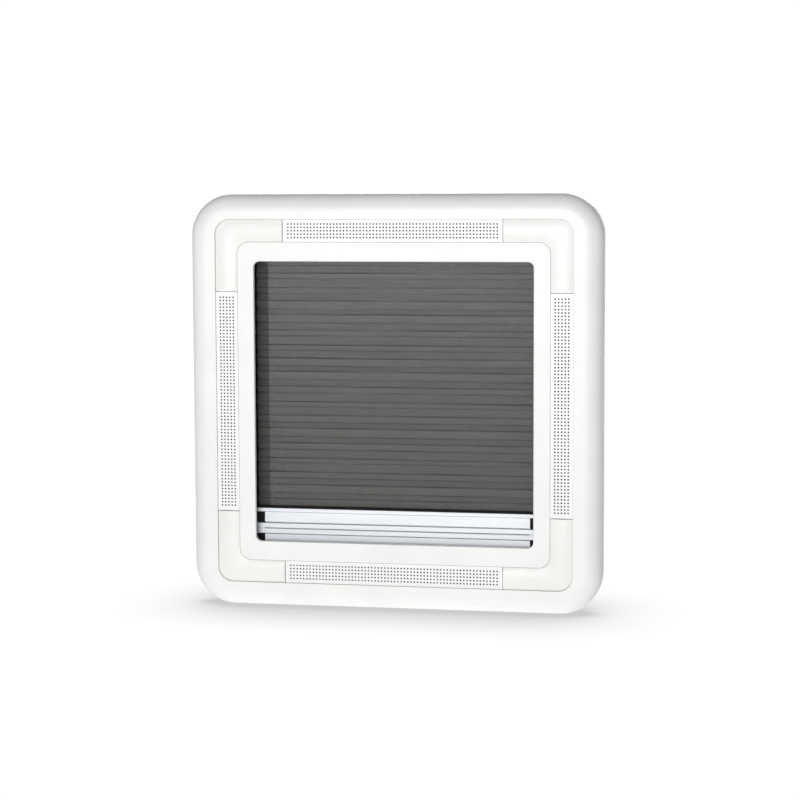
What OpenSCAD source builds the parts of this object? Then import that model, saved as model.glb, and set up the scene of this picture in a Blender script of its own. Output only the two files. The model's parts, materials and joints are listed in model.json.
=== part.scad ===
// Ceiling frame of a caravan roof vent. A white surround with four perforated strips holds a
// pleated flyscreen above a pleated blackout blind, and both run in side rails behind the window.
//
// Every module is drawn in plan: x across, y along the blinds' travel, z the height above the
// ceiling towards the room. upright() then stands it up, so the room side faces -Y, the blinds
// travel along Z, and the ceiling lies in the plane Y = 0.

/* [Surround] */
// Outer width and height of the frame
frame_w = 498; // [490:1:510]
// Plan radius of the frame's outer corners
frame_corner_r = 50; // [46:1:56]
// Height of the rim's crown above the ceiling
rim_h = 38.5; // [38:0.5:42]
// Radius of the rim's rounded outer edge
rim_round = 21; // [16:1:24]
// Height of the grilles and of the inner band above the ceiling
face_h = 36.5; // [36:0.5:38]
// Wall thickness of the moulded frame
wall = 2.5; // [2:0.1:3]
// Width of the square window
window_w = 338; // [330:1:340]
// Plan radius of the window's corners
window_r = 7; // [5:1:9]
// Radius of the window's rounded edge
window_edge_r = 1.2; // [0.8:0.1:3]

/* [Grilles] */
// Spacing of the holes
pitch = 4; // [3.8:0.1:4]
// Diameter of a hole
hole_d = 2; // [1.2:0.1:2.2]
// Holes along a grille
holes_along = 64; // [60:2:64]
// Rows of holes
holes_across = 5; // [3:2:5]
// Clearance between a grille or corner cover and its channel
channel_gap = 0.25; // [0.2:0.05:0.6]
// Rise of a corner cover's crown above the grilles
crown = 2; // [1:0.5:3]

/* [Blinds] */
// Height of a handle bar along its travel
bar_w = 24.6; // [22:0.2:25]
// Half the length of a bar's recessed front band
band_half = 162.6; // [150:0.2:165]
// Depth of one pleat
pleat_depth = 10; // [6:1:13]
// Spacing of the pleats on the closed flyscreen
pleat_pitch = 17.3; // [10:0.1:20]
// Thickness of the pleated fabric
fabric_t = 0.6; // [0.4:0.1:1]
// Distance that both bars travel
travel = 311.6; // [280:0.2:311.6]

/* [Roof side] */
// Depth of the duct that reaches up into the roof
duct_depth = 50; // [20:1:60]
// Radius of the ceiling screw holes
screw_hole_r = 2.25; // [2:0.05:2.5]

/* [Hidden] */
$fn = 48;
eps = 0.01;

white = [0.95, 0.95, 0.94];
alloy = [0.85, 0.87, 0.90];
black = [0.06, 0.06, 0.065];
mesh_grey = [0.35, 0.36, 0.37];
blind_grey = [0.66, 0.67, 0.68];
steel = [0.68, 0.68, 0.70];

// The channel round the window takes the grilles and the corner covers
grille_line = [202.4, 205.6];
channel_half_w = 13.6;
channel_outer = 2 * [grille_line[0] + channel_half_w, grille_line[1] + channel_half_w];
channel_inner = 2 * [grille_line[0] - channel_half_w, grille_line[1] - channel_half_w];
channel_outer_r = 18;
channel_inner_r = 14;
floor_top = 30;
floor_under = floor_top - wall;
insert_w = 2 * channel_half_w - 2 * channel_gap;
grille_margin = 6.6;
grille_len = (holes_along - 1) * pitch + 2 * grille_margin;
grille_t = 1.6;
grille_flange = 1.2;
air_slot = [260, 24];
air_slot_r = 4;
cover_base = floor_top + 1;
cover_skirt = 2;
cover_roof = floor_top + 3.5;
window_lip = 5.5;

// The chassis behind the frame: rails at the sides, a cassette across each end
chassis_h = 22;
sheet = 1.5;
rail_open = 172;
rail_back = 187;
rail_end = 171;
cassette_back = 202;
head_y = 198;
cord_x = 177;
mid_h = 11;
// Black baffles reach out under the air slots from the rails and cassettes
baffle_half = 131;
baffle_past = 0.5;
cord_hole_r = 1.2;

// Bars: both stand at the foot of the window at rest
bar_base = 3;
band_h = 16.5;
lip_h = 19;
outer_lip = 4.5;
inner_lip = 6.3;
bar_half = 171.5;
bar_wall = 1.4;
glide_half = 184;
packed = 17.4;
meet_y = head_y - packed - travel - bar_w;
screen_edge = meet_y + bar_w;
fabric_half = 171.6;
seam = 2;
slot_below = 3;
slot_w = 5;
plug_len = 16;
plug_clear = 0.2;
plug_top = 13.2;
strip_half = 145;
strip_t = 1.6;
cassette_strip_half = 168;
latch = [40, 2.5, 8];
latch_spacing = 110;

// Brackets, and what they carry
bracket_x = rail_back + 0.2;
bracket_y = cassette_back + 0.2;
bracket_t = 2.5;
bracket_base = 1;
bracket_h = 20;
bracket_foot = [150, 140];
lug = [18, 9];
post_plate = [32, 11];
post_h = 14;
post = [173, 208.5];
post_r = 3.2;
bend_r = 4;
cord_r = 0.6;
peg = [153, post[1] + bend_r];
peg_r = 1.2;
spring_x = 156;
spring_len = 11.4;
spring_r = 2.2;
spring_turns = 8;
wire_r = 0.35;
crimp_r = 1.4;
crimp_end = 5;
side_lug = [194.5, 160];
end_lug = [165, 209.5];
lug_hole_r = 1.8;
duct_boss = [193.4, 184];
duct_boss_r = 3.9;
duct_boss_h = 12;
screw_r = 1.5;
screw_head_r = 2.9;
screw_head_h = 2.2;
chassis_screw_len = 7;
duct_screw_len = 11;
pilot_r = 1.6;
ceiling_side = [206, 150];
ceiling_end = [145, 210];
boss_r = 5;
chassis_boss_r = 4;
pilot_depth = 6.5;

duct_w = 346;
duct_wall = 2.5;
duct_flange = 394;
duct_r = 6;
duct_flange_r = 10;

module upright() {
    rotate([90, 0, 0]) children();
}

// A plan outline raised from height h0 to height h1
module level(h0, h1) {
    translate([0, 0, h0]) linear_extrude(h1 - h0) children();
}

module rounded_rect(size, r) {
    square([size[0] - 2 * r, size[1]], center = true);
    square([size[0], size[1] - 2 * r], center = true);
    for (sx = [-1, 1], sy = [-1, 1])
        translate([sx * (size[0] / 2 - r), sy * (size[1] / 2 - r)]) circle(r);
}

module ring(outer, outer_r, inner, inner_r) {
    difference() {
        rounded_rect(outer, outer_r);
        rounded_rect(inner, inner_r);
    }
}

// Sweeps a section round four corner centres. The section's x runs outward, its y is height.
module sweep(centre) {
    for (side = [0:3])
        rotate(90 * side) {
            c = side % 2 == 0 ? centre : [centre[1], centre[0]];
            translate([c[0], c[1], 0]) {
                rotate([90, 0, 0]) linear_extrude(2 * c[1]) children();
                rotate_extrude(angle = 90, start = 0) children();
            }
        }
}

// All four mirror images of what stands in the top right quarter
module in_four_corners() {
    for (sx = [0, 1], sy = [0, 1])
        mirror([sx, 0, 0]) mirror([0, sy, 0]) children();
}

// A section in (y, height) run along x from x0 to x1
module run_x(x0, x1) {
    translate([x0, 0, 0]) rotate([90, 0, 90]) linear_extrude(x1 - x0) children();
}

// A section in (x, height) run along y from y0 to y1
module run_y(y0, y1) {
    translate([0, y1, 0]) rotate([90, 0, 0]) linear_extrude(y1 - y0) children();
}

// ---- Surround ----

// Outline of the rim's section, taken in by t
module rim_outline(t) {
    bend = [frame_corner_r - rim_round, rim_h - rim_round];
    square([frame_corner_r - t, bend[1]]);
    square([bend[0], rim_h - t]);
    intersection() {
        translate(bend) circle(rim_round - t);
        translate(bend) square(rim_round);
    }
}

module rim_skin() {
    centre = frame_w / 2 - frame_corner_r;
    difference() {
        sweep([centre, centre])
            difference() {
                rim_outline(0);
                rim_outline(wall);
            }
        level(-1, rim_h + 1) rounded_rect(channel_outer, channel_outer_r);
    }
}

// The channel's floor, with an air slot behind each grille
module channel_floor() {
    difference() {
        ring(channel_outer, channel_outer_r, channel_inner, channel_inner_r);
        for (s = [-1, 1]) {
            translate([0, s * grille_line[1]]) rounded_rect(air_slot, air_slot_r);
            translate([s * grille_line[0], 0]) rotate(90) rounded_rect(air_slot, air_slot_r);
        }
    }
}

module window_edge_cutter() {
    difference() {
        translate([window_r - 1, face_h - window_edge_r])
            square([window_edge_r + 1, window_edge_r + 1]);
        translate([window_r + window_edge_r, face_h - window_edge_r]) circle(window_edge_r);
    }
}

module frame_bosses() {
    in_four_corners() {
        for (p = [ceiling_side, ceiling_end])
            translate([p[0], p[1], 0]) cylinder(r = boss_r, h = floor_top - eps);
        for (p = [side_lug, end_lug])
            translate([p[0], p[1], chassis_h]) cylinder(r = chassis_boss_r, h = floor_top - chassis_h - eps);
    }
}

module frame_holes() {
    in_four_corners() {
        for (p = [ceiling_side, ceiling_end])
            translate([p[0], p[1], -1]) cylinder(r = screw_hole_r, h = floor_top + 2);
        for (p = [side_lug, end_lug])
            translate([p[0], p[1], chassis_h - 1]) cylinder(r = pilot_r, h = pilot_depth);
    }
}

module front_frame() {
    window = [window_w, window_w];
    t2 = [2 * wall, 2 * wall];
    color(white) upright()
        difference() {
            union() {
                rim_skin();
                level(floor_under, rim_h)
                    ring(channel_outer + t2, channel_outer_r + wall, channel_outer, channel_outer_r);
                level(floor_under, floor_top) channel_floor();
                level(floor_under, face_h)
                    ring(channel_inner, channel_inner_r, channel_inner - t2, channel_inner_r - wall);
                level(face_h - wall, face_h)
                    ring(channel_inner, channel_inner_r, window, window_r);
                level(face_h - window_lip, face_h)
                    ring(window + 1.6 * t2, window_r + 1.6 * wall, window, window_r);
                frame_bosses();
            }
            frame_holes();
            sweep([window_w / 2 - window_r, window_w / 2 - window_r]) window_edge_cutter();
        }
}

// One perforated strip along x: a plate on two side flanges that stand on the channel's floor
module grille() {
    size = [grille_len, insert_w];
    level(face_h - grille_t, face_h)
        difference() {
            square(size, center = true);
            for (i = [0:holes_along - 1], j = [0:holes_across - 1])
                translate([(i - (holes_along - 1) / 2) * pitch, (j - (holes_across - 1) / 2) * pitch])
                    circle(d = hole_d);
        }
    level(floor_top, face_h - grille_t)
        difference() {
            square(size, center = true);
            square([grille_len + 1, insert_w - 2 * grille_flange], center = true);
        }
}

module vent_grille_top() {
    color(white) upright() translate([0, grille_line[1], 0]) grille();
}

module vent_grille_bottom() {
    color(white) upright() translate([0, -grille_line[1], 0]) grille();
}

module vent_grille_left() {
    color(white) upright() translate([-grille_line[0], 0, 0]) rotate(90) grille();
}

module vent_grille_right() {
    color(white) upright() translate([grille_line[0], 0, 0]) rotate(90) grille();
}

// Section of a corner cover across the channel, centred on the channel's middle line
module cover_section() {
    half = insert_w / 2;
    base = face_h - 0.5;
    arc_r = (half * half + pow(crown + 0.5, 2)) / (2 * (crown + 0.5));
    intersection() {
        translate([0, face_h + crown - arc_r]) circle(arc_r, $fn = 96);
        translate([-half, base]) square([2 * half, 4]);
    }
    translate([-half, cover_base]) square([2 * half, base - cover_base]);
}

// The top right cover: two legs that meet on a mitre, cut to the channel's rounded outline
module corner_cover() {
    leg = grille_len / 2 + channel_gap;
    reach = channel_outer / 2;
    gap2 = 2 * [channel_gap, channel_gap];
    skirt2 = gap2 + 2 * [cover_skirt, cover_skirt];
    inward = grille_line - [leg, leg];
    outward = grille_line + [frame_corner_r, frame_corner_r];
    difference() {
        intersection() {
            union() {
                intersection() {
                    translate([0, grille_line[1], 0]) run_x(leg, reach[0]) cover_section();
                    level(0, 60) polygon([inward, outward, [inward[0], outward[1]]]);
                }
                intersection() {
                    translate([grille_line[0], 0, 0]) run_y(leg, reach[1]) cover_section();
                    level(0, 60) polygon([inward, outward, [outward[0], inward[1]]]);
                }
            }
            level(0, 60)
                ring(channel_outer - gap2, channel_outer_r - channel_gap,
                     channel_inner + gap2, channel_inner_r + channel_gap);
        }
        // hollow underneath
        level(floor_top, cover_roof)
            difference() {
                ring(channel_outer - skirt2, channel_outer_r - cover_skirt,
                     channel_inner + skirt2, channel_inner_r + cover_skirt);
                square([2 * (leg + cover_skirt), frame_w], center = true);
                square([frame_w, 2 * (leg + cover_skirt)], center = true);
            }
    }
}

module corner_cover_top_right() {
    color(white) upright() corner_cover();
}

module corner_cover_top_left() {
    color(white) upright() mirror([1, 0, 0]) corner_cover();
}

module corner_cover_bottom_left() {
    color(white) upright() mirror([1, 0, 0]) mirror([0, 1, 0]) corner_cover();
}

module corner_cover_bottom_right() {
    color(white) upright() mirror([0, 1, 0]) corner_cover();
}

// ---- Chassis ----

// A C section, open towards -x of the section, from a to b
module c_section(a, b) {
    difference() {
        translate([a, 0]) square([b - a, chassis_h]);
        translate([a - 1, sheet]) square([b - a - sheet + 1, chassis_h - 2 * sheet]);
    }
}

// The plate that reaches out from a chassis part's front edge, under the air slot
module baffle(reach) {
    translate([0, chassis_h - sheet]) square([reach + baffle_past, sheet]);
}

module cassette() {
    reach = grille_line[1] + channel_half_w - cassette_back;
    difference() {
        run_x(-rail_back, rail_back) c_section(rail_end + 0.2, cassette_back);
        for (s = [-1, 1])
            translate([s * cord_x, cassette_back - 5, mid_h]) rotate([-90, 0, 0])
                cylinder(r = cord_hole_r, h = 8);
    }
    run_x(-baffle_half, baffle_half) translate([cassette_back - eps, 0]) baffle(reach);
}

module top_cassette() {
    color(black) upright() cassette();
}

module bottom_cassette() {
    color(black) upright() mirror([0, 1, 0]) cassette();
}

module rail() {
    reach = grille_line[0] + channel_half_w - rail_back;
    run_y(-rail_end, rail_end) c_section(rail_open, rail_back);
    run_y(-baffle_half, baffle_half) translate([rail_back - eps, 0]) baffle(reach);
}

module right_rail() {
    color(black) upright() rail();
}

module left_rail() {
    color(black) upright() mirror([1, 0, 0]) rail();
}

// The top right bracket ties the rail to the cassette, and carries the cord's post and peg
module corner_bracket() {
    outer = [bracket_x + bracket_t, bracket_y + bracket_t];
    difference() {
        union() {
            translate([bracket_x, bracket_foot[1], bracket_base])
                cube([bracket_t, outer[1] - bracket_foot[1], bracket_h]);
            translate([bracket_foot[0], bracket_y, bracket_base])
                cube([outer[0] - bracket_foot[0], bracket_t, bracket_h]);
            translate([outer[0] - eps, side_lug[1] - lug[0] / 2, chassis_h - bracket_t])
                cube([lug[1], lug[0], bracket_t]);
            translate([end_lug[0] - lug[0] / 2, outer[1] - eps, chassis_h - bracket_t])
                cube([lug[0], lug[1], bracket_t]);
            translate([bracket_foot[0], outer[1] - eps, bracket_base])
                cube([post_plate[0], post_plate[1], bracket_t]);
            translate([post[0], post[1], bracket_base]) cylinder(r = post_r, h = post_h);
            translate([peg[0], peg[1], bracket_base]) cylinder(r = peg_r, h = post_h);
            translate([duct_boss[0], duct_boss[1], 0]) cylinder(r = duct_boss_r, h = duct_boss_h);
        }
        for (p = [side_lug, end_lug])
            translate([p[0], p[1], post_h + 2]) cylinder(r = lug_hole_r, h = 10);
        translate([duct_boss[0], duct_boss[1], -1]) cylinder(r = pilot_r, h = duct_boss_h);
        translate([cord_x, bracket_y - 1, mid_h]) rotate([-90, 0, 0])
            cylinder(r = cord_hole_r, h = 2 * bracket_t);
    }
}

module corner_bracket_top_right() {
    color(black) upright() corner_bracket();
}

module corner_bracket_top_left() {
    color(black) upright() mirror([1, 0, 0]) corner_bracket();
}

module corner_bracket_bottom_left() {
    color(black) upright() mirror([1, 0, 0]) mirror([0, 1, 0]) corner_bracket();
}

module corner_bracket_bottom_right() {
    color(black) upright() mirror([0, 1, 0]) corner_bracket();
}

module inner_duct() {
    flange = [duct_flange, duct_flange];
    bore = [duct_w, duct_w];
    tube = bore + 2 * [duct_wall, duct_wall];
    color(black) upright()
        difference() {
            union() {
                level(-duct_wall, 0) ring(flange, duct_flange_r, bore, duct_r);
                level(-duct_depth, -duct_wall + eps) ring(tube, duct_r + duct_wall, bore, duct_r);
            }
            in_four_corners()
                translate([duct_boss[0], duct_boss[1], -5]) cylinder(r = lug_hole_r, h = 10);
        }
}

// ---- Fabrics ----

// Zigzag section of the flyscreen, in (y, height), from its foot to its head
module pleat_section() {
    foot = screen_edge + seam;
    folds = 2 * round((head_y - foot) / pleat_pitch);
    step = (head_y - foot) / folds;
    low = mid_h - pleat_depth / 2 + fabric_t / 2;
    high = mid_h + pleat_depth / 2 - fabric_t / 2;
    front = [for (i = [0:folds])
        [foot + i * step, (i % 2 == 0 ? low : high) + fabric_t / 2]];
    back = [for (i = [folds:-1:0])
        [foot + i * step, (i % 2 == 0 ? low : high) - fabric_t / 2]];
    polygon(concat(front, back));
}

module flyscreen() {
    color(mesh_grey) upright() run_x(-fabric_half, fabric_half) pleat_section();
}

// The blackout blind is packed flat in the bottom cassette at rest
module blackout_blind() {
    color(blind_grey) upright()
        translate([-fabric_half, -head_y, mid_h - pleat_depth / 2])
            cube([2 * fabric_half, head_y + meet_y - bar_w - seam, pleat_depth]);
}

// ---- Bars ----

// Section of a bar in (y, height): y = 0 is the edge that takes the fabric, bar_w the meeting edge
module bar_section() {
    difference() {
        union() {
            translate([0, bar_base]) square([bar_w, band_h - bar_base]);
            translate([0, bar_base]) square([outer_lip, lip_h - bar_base]);
            translate([bar_w - inner_lip, bar_base]) square([inner_lip, lip_h - bar_base]);
        }
        translate([bar_wall, bar_base + bar_wall])
            square([bar_w - 2 * bar_wall, band_h - bar_base - 2 * bar_wall]);
        translate([-1, mid_h - slot_below]) square([bar_wall + 2, slot_w]);
    }
}

// A bar with its front band and back cut short of the lips, so that the end caps show
module bar() {
    notch = bar_half - band_half + 1;
    difference() {
        run_x(-bar_half, bar_half) bar_section();
        for (s = [0, 1])
            mirror([s, 0, 0])
                translate([band_half, outer_lip, bar_base - 1])
                    cube([notch, bar_w - outer_lip - inner_lip, lip_h]);
    }
}

// The right end cap: a plug inside the bar, a head in the notch, and a glide in the rail
module bar_cap() {
    plug_from = [bar_wall + 4, bar_base + bar_wall + plug_clear];
    plug_w = bar_w - bar_wall - plug_clear - plug_from[0];
    head_w = bar_w - outer_lip - inner_lip - 2 * plug_clear;
    difference() {
        union() {
            translate([band_half - plug_len, plug_from[0], plug_from[1]])
                cube([plug_len + bar_half - band_half, plug_w, plug_top - plug_from[1]]);
            translate([band_half + plug_clear, outer_lip + plug_clear, bar_base])
                cube([glide_half - band_half - plug_clear, head_w, band_h - bar_base - plug_clear]);
            translate([bar_half + plug_clear, bar_base / 2, bar_base - 1])
                cube([glide_half - bar_half - plug_clear, bar_w - bar_base, lip_h - bar_base + 1.5]);
        }
        translate([cord_x, -1, mid_h]) rotate([-90, 0, 0]) cylinder(r = 1.1, h = bar_w + 2);
    }
}

// Places a bar's parts: the screen's edge faces up, the blind's faces down
module as_screen_bar() {
    translate([0, screen_edge, 0]) mirror([0, 1, 0]) children();
}

module as_blind_bar() {
    translate([0, meet_y - bar_w, 0]) children();
}

module screen_bar() {
    color(alloy) upright() as_screen_bar() bar();
}

module screen_bar_cap_right() {
    color(black) upright() as_screen_bar() bar_cap();
}

module screen_bar_cap_left() {
    color(black) upright() mirror([1, 0, 0]) as_screen_bar() bar_cap();
}

module blind_bar() {
    color(alloy) upright() as_blind_bar() bar();
}

module blind_bar_cap_right() {
    color(black) upright() as_blind_bar() bar_cap();
}

module blind_bar_cap_left() {
    color(black) upright() mirror([1, 0, 0]) as_blind_bar() bar_cap();
}

// Flat strips that the fabrics are bonded to
module cassette_strip() {
    translate([-cassette_strip_half, head_y, mid_h - 5])
        cube([2 * cassette_strip_half, cassette_back - sheet - head_y, 10]);
}

// The bar's strip hooks into the slot in the bar's edge and stands proud of it by the seam
module bar_strip() {
    translate([-strip_half, bar_wall, mid_h - slot_below - 2])
        cube([2 * strip_half, strip_t, slot_w + 4]);
    translate([-strip_half, -eps, mid_h - slot_below + 0.2])
        cube([2 * strip_half, bar_wall + 2 * eps, slot_w - 0.4]);
    translate([-bar_half, -seam, mid_h - 6]) cube([2 * bar_half, seam, 12]);
}

module screen_head_strip() {
    color(black) upright() cassette_strip();
}

module blind_foot_strip() {
    color(black) upright() mirror([0, 1, 0]) cassette_strip();
}

module screen_bar_strip() {
    color(black) upright() as_screen_bar() bar_strip();
}

module blind_bar_strip() {
    color(black) upright() as_blind_bar() bar_strip();
}

// Three blocks inside a bar, on the wall that meets the other bar
module latch_blocks() {
    for (i = [-1:1])
        translate([i * latch_spacing - latch[0] / 2, bar_w - bar_wall - latch[1], mid_h - latch[2] / 2])
            cube(latch);
}

module bar_magnets() {
    color(black) upright() as_screen_bar() latch_blocks();
}

module bar_keepers() {
    color(steel) upright() as_blind_bar() latch_blocks();
}

// ---- Cords ----

// The right cord: peg, round the top post, down the rail, round the foot post, foot peg
module guide_cord() {
    spring_end = spring_x + spring_len + cord_r;
    crimped = peg[0] + crimp_end;
    translate([0, 0, mid_h]) {
        translate([cord_x, -post[1], 0]) rotate([-90, 0, 0]) cylinder(r = cord_r, h = 2 * post[1]);
        for (s = [0, 1])
            mirror([0, s, 0])
                translate([post[0], post[1], 0])
                    rotate_extrude(angle = 90, start = 0) translate([bend_r, 0]) circle(cord_r);
        translate([spring_end, peg[1], 0]) rotate([0, 90, 0])
            cylinder(r = cord_r, h = post[0] - spring_end);
        translate([crimped, -peg[1], 0]) rotate([0, 90, 0])
            cylinder(r = cord_r, h = post[0] - crimped);
    }
}

module guide_cord_right() {
    color(white) upright() guide_cord();
}

module guide_cord_left() {
    color(white) upright() mirror([1, 0, 0]) guide_cord();
}

// Points round the wire at one place along the coil
function coil_ring(t, turns, length, r, wire) =
    let (a = 360 * turns * t, sides = 6)
    [for (k = [0:sides - 1])
        let (b = 360 * k / sides)
        [length * t + wire * sin(b), (r + wire * cos(b)) * cos(a), (r + wire * cos(b)) * sin(a)]];

// A helical spring along x, as one swept polyhedron
module coil(turns, length, r, wire) {
    steps = turns * 12;
    sides = 6;
    points = [for (i = [0:steps]) each coil_ring(i / steps, turns, length, r, wire)];
    faces = concat(
        [[for (k = [0:sides - 1]) k]],
        [for (i = [0:steps - 1], k = [0:sides - 1])
            [i * sides + k, (i + 1) * sides + k, (i + 1) * sides + (k + 1) % sides,
             i * sides + (k + 1) % sides]],
        [[for (k = [sides - 1:-1:0]) steps * sides + k]]);
    polyhedron(points, faces);
}

module cord_spring() {
    translate([spring_x, peg[1], mid_h]) coil(spring_turns, spring_len, spring_r, wire_r);
}

module cord_spring_right() {
    color(steel) upright() cord_spring();
}

module cord_spring_left() {
    color(steel) upright() mirror([1, 0, 0]) cord_spring();
}

// A crimp on each cord's foot end holds it on its peg
module cord_crimps() {
    color(steel) upright()
        for (s = [0, 1])
            mirror([s, 0, 0])
                translate([peg[0] + peg_r, -peg[1], mid_h]) rotate([0, 90, 0])
                    cylinder(r = crimp_r, h = crimp_end - peg_r);
}

// ---- Screws ----

// A pan-head screw from the roof side: the head's seat is at height h
module screw(p, h, length) {
    translate([p[0], p[1], h - screw_head_h]) cylinder(r = screw_head_r, h = screw_head_h);
    translate([p[0], p[1], h]) cylinder(r = screw_r, h = length);
}

module chassis_screws() {
    color(steel) upright()
        in_four_corners() {
            screw(side_lug, chassis_h - bracket_t, chassis_screw_len);
            screw(end_lug, chassis_h - bracket_t, chassis_screw_len);
        }
}

module duct_screws() {
    color(steel) upright()
        in_four_corners() screw(duct_boss, -duct_wall, duct_screw_len);
}

front_frame();
vent_grille_top();
vent_grille_bottom();
vent_grille_left();
vent_grille_right();
corner_cover_top_right();
corner_cover_top_left();
corner_cover_bottom_left();
corner_cover_bottom_right();
top_cassette();
bottom_cassette();
left_rail();
right_rail();
corner_bracket_top_right();
corner_bracket_top_left();
corner_bracket_bottom_left();
corner_bracket_bottom_right();
inner_duct();
flyscreen();
blackout_blind();
screen_bar();
screen_bar_cap_left();
screen_bar_cap_right();
blind_bar();
blind_bar_cap_left();
blind_bar_cap_right();
screen_head_strip();
screen_bar_strip();
blind_foot_strip();
blind_bar_strip();
bar_magnets();
bar_keepers();
guide_cord_left();
guide_cord_right();
cord_spring_left();
cord_spring_right();
cord_crimps();
chassis_screws();
duct_screws();
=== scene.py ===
"""Looks for the ceiling frame of a caravan roof vent.

The room side faces -Y, the blinds travel along Z, and the ceiling is the plane Y = 0. Sizes are in
millimetres, with heights above the ceiling towards the room, and at() turns them into the frame's metres.
"""
import json
import math

import bmesh
import bpy
from mathutils import Matrix, Vector, noise

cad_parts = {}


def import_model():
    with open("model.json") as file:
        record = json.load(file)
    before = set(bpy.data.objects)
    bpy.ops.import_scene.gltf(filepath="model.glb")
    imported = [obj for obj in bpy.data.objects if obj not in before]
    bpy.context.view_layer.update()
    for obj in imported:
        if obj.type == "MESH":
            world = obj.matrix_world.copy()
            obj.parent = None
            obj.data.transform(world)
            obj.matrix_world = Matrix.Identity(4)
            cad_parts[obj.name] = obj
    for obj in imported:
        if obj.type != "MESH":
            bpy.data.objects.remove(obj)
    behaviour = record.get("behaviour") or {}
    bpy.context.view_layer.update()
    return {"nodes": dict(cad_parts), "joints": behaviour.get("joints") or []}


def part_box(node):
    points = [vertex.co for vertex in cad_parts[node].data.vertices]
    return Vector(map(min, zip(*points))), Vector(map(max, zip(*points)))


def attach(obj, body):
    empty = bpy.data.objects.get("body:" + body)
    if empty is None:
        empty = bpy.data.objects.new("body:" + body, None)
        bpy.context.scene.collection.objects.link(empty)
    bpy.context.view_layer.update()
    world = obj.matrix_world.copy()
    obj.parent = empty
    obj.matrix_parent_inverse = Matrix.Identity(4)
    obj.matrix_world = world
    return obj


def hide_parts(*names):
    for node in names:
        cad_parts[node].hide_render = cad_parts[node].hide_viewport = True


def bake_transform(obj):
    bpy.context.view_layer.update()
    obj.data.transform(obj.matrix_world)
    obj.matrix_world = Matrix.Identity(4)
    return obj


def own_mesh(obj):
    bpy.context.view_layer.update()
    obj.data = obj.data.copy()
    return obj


MM = 0.001
ROOT, SCREEN, BLIND = "frame", "screen_carriage", "blind_carriage"


def at(x, z, h):
    """A point across x, up z and at height h above the ceiling, in metres."""
    return Vector((x, -h, z)) * MM


def box_mm(node):
    """A CAD node's box as (low x, high x, low z, high z, low height, high height), in millimetres."""
    low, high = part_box(node)
    return tuple(v / MM for v in (low.x, high.x, low.z, high.z, -high.y, -low.y))


# ---- Load the frame and read its driving dimensions ----

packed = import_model()
NODES = packed["nodes"]

_, FRAME_HALF, _, _, _, RIM_H = box_mm("front_frame")
_, GRILLE_HALF, GRILLE_LOW, GRILLE_HIGH, FLOOR_H, FACE_H = box_mm("vent_grille_top")
COVER_START, COVER_X1, _, COVER_Z1, _, COVER_H = box_mm("corner_cover_top_right")
_, BAR_HALF, SCREEN_LOW, SCREEN_HIGH, BAR_BASE, LIP_H = box_mm("screen_bar")
_, _, BLIND_LOW, _, _, _ = box_mm("blind_bar")
_, FABRIC_HALF, SCREEN_FOOT, FABRIC_HEAD, PLEAT_LOW, PLEAT_HIGH = box_mm("flyscreen")
_, _, _, PACKED_HIGH, _, _ = box_mm("blackout_blind")
TRAVEL = max(j["range_m"][1] for j in packed["joints"]) / MM

# Sizes of the CAD model that the boxes don't give. A pair is (across, up), measured from the middle.
GAP = 0.25
WALL = 2.5
RIM_ROUND = 21
CORNER_R = 50

# The channel for the strips and covers, the band inside it, and the line along the channel's middle
CHANNEL_R, BAND_R = 18, 14
CHANNEL = (COVER_X1 + GAP, COVER_Z1 + GAP)
CHANNEL_W = GRILLE_HIGH - GRILLE_LOW + 2 * GAP
BAND = (CHANNEL[0] - CHANNEL_W, CHANNEL[1] - CHANNEL_W)
LINE = (CHANNEL[0] - CHANNEL_W / 2, CHANNEL[1] - CHANNEL_W / 2)

# The window as a half size, the rounding of its edge, and how deep and far out its lip goes
WINDOW = 169
WINDOW_R = 7
WINDOW_EDGE = 1.2
WINDOW_LIP = 5.5
LIP_OUT = WINDOW + 1.6 * WALL

# Air strips with the slots behind them, and how far the covers stand off the channel's floor
PITCH = 4
HOLE_R = 1.0
HOLES_ALONG, HOLES_ACROSS = 64, 5
STRIP_T, FLANGE_T = 1.6, 1.2
AIR_SLOT = (130, 12)
AIR_SLOT_R = 4
COVER_LIFT = 1.0

# Handle bars: a low band between two lips, and a slot in one edge, (low, high), for the fabric's strip
BAR_W = SCREEN_HIGH - SCREEN_LOW
BAR_BAND_HALF = 162.6
BAR_BAND_H = 16.5
OUTER_LIP, INNER_LIP = 4.5, 6.3
BAR_WALL = 1.4
BAR_SLOT = (8, 13)

# Fabrics
MID_H = (PLEAT_LOW + PLEAT_HIGH) / 2
HALF_PLEATS = 38

# Screw places in one quarter, the bosses' sizes, where heads seat, how long shanks are, and the heads
SIDE_LUG, END_LUG, DUCT_BOSS = (194.5, 160), (165, 209.5), (193.4, 184)
CEILING_SIDE, CEILING_END = (206, 150), (145, 210)
CEILING_HOLE_R, BOSS_R = 2.25, 5
PILOT_R, LUG_BOSS_R = 1.6, 4
LUG_H, DUCT_SEAT = 19.5, -2.5
CHASSIS_SCREW, DUCT_SCREW = 7, 11
HEAD_R, HEAD_H = 2.9, 2.2

# Finer sizes, which only the looks have, and how dense folds in front and folds behind look, with how dark
# the painted crease shade on them is
END_GAP = 0.2
THREAD_R, THREAD_ROOT_R, THREAD_PITCH = 1.45, 1.15, 0.7
FRONT_CREASE_SHADE_AND_DENSITY, BACK_CREASE_SHADE_AND_DENSITY = 1.1, 0.75

QUARTERS = [(sx, sz) for sx in (1, -1) for sz in (1, -1)]


# ---- Camera and light ----

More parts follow.
